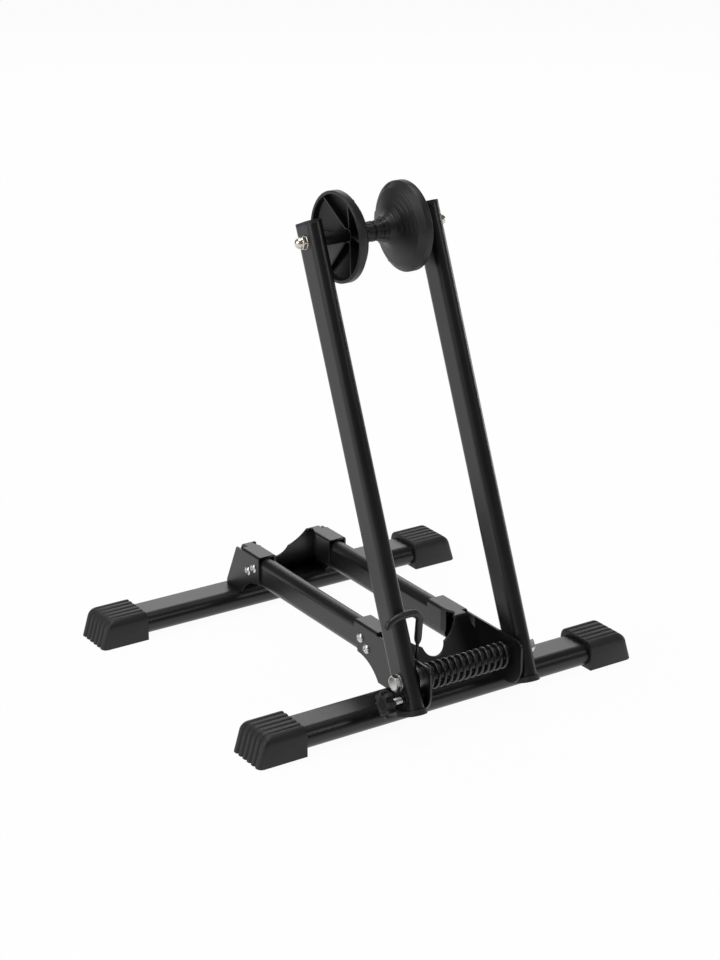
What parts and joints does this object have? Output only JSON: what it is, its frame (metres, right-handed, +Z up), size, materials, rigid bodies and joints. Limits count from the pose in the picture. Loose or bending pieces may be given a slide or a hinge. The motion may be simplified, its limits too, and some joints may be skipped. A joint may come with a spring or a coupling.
{
  "type": "floor bike rack",
  "caption": "Floor rack for one bicycle: a tyre channel on two footed base tubes, with a sprung, folding pair of uprights that holds the wheel between cone rollers.",
  "frame": {"origin": "on the floor under the centre of the rack's bounding box", "axes": "+Z up; +X across the rack, along the base tubes; -Y towards the end with the pivot, +Y towards the far base tube"},
  "size_m": [0.4, 0.3623, 0.4448],
  "materials": {
    "black_powder_coat": "satin black powder coat",
    "black_plastic": "fine-grained black plastic",
    "black_rubber": "smooth black sleeve",
    "black_spring_steel": "blackened spring wire",
    "zinc_plated_steel": "bright zinc plate"
  },
  "bodies": {
    "base": {"front_base_tube": "black_powder_coat", "rear_base_tube": "black_powder_coat", "foot_front_left": "black_plastic", "foot_front_right": "black_plastic", "foot_rear_left": "black_plastic", "foot_rear_right": "black_plastic", "rail_left": "black_powder_coat", "rail_right": "black_powder_coat", "front_bracket": "black_powder_coat", "rear_bracket": "black_powder_coat", "front_bracket_rivets": "zinc_plated_steel", "rear_bracket_rivets": "zinc_plated_steel", "pivot_tube": "black_plastic", "pivot_washers": "zinc_plated_steel", "torsion_spring": "black_spring_steel"},
    "uprights": {"upright_left": "black_powder_coat", "upright_right": "black_powder_coat", "plug_top_left": "black_plastic", "plug_top_right": "black_plastic", "plug_bottom_left": "black_plastic", "plug_bottom_right": "black_plastic", "pivot_bolt": "zinc_plated_steel", "pivot_nut": "zinc_plated_steel", "roller_axle": "zinc_plated_steel", "roller_spacers": "black_plastic", "cap_nut_left": "zinc_plated_steel", "cap_nut_right": "zinc_plated_steel", "spring_sleeve": "black_rubber", "rivet_nut": "zinc_plated_steel"},
    "roller_left": {"roller_left": "black_plastic"},
    "roller_right": {"roller_right": "black_plastic"},
    "lock_screw": {"lock_screw": "zinc_plated_steel"},
    "lock_knob": {"lock_knob": "black_plastic"}
  },
  "joints": [
    {"name": "arm_swing", "type": "hinge", "parent": "base", "child": "uprights", "pos_m": [0, -0.1542, 0.0513], "axis": [1, 0, 0], "range_deg": [-60, 60], "stiffness_Nm_per_rad": 5, "springref_deg": 8.02, "deforming": ["torsion_spring"]},
    {"name": "roller_left_spin", "type": "hinge", "parent": "uprights", "child": "roller_left", "pos_m": [0, -0.01045, 0.40479], "axis": [1, 0, 0], "continuous": true},
    {"name": "roller_right_spin", "type": "hinge", "parent": "uprights", "child": "roller_right", "pos_m": [0, -0.01045, 0.40479], "axis": [1, 0, 0], "continuous": true},
    {"name": "lock_screw_travel", "type": "slide", "parent": "uprights", "child": "lock_screw", "axis": [-1, 0, 0], "range_m": [0, 0.006]},
    {"name": "lock_knob_turn", "type": "hinge", "parent": "lock_screw", "child": "lock_knob", "pos_m": [0, -0.15985, 0.03741], "axis": [-1, 0, 0], "range_deg": [0, 2160]}
  ],
  "couplings": [
    {"joint": "lock_screw_travel", "follows": "lock_knob_turn", "m_per_rad": 0.00015915}
  ]
}
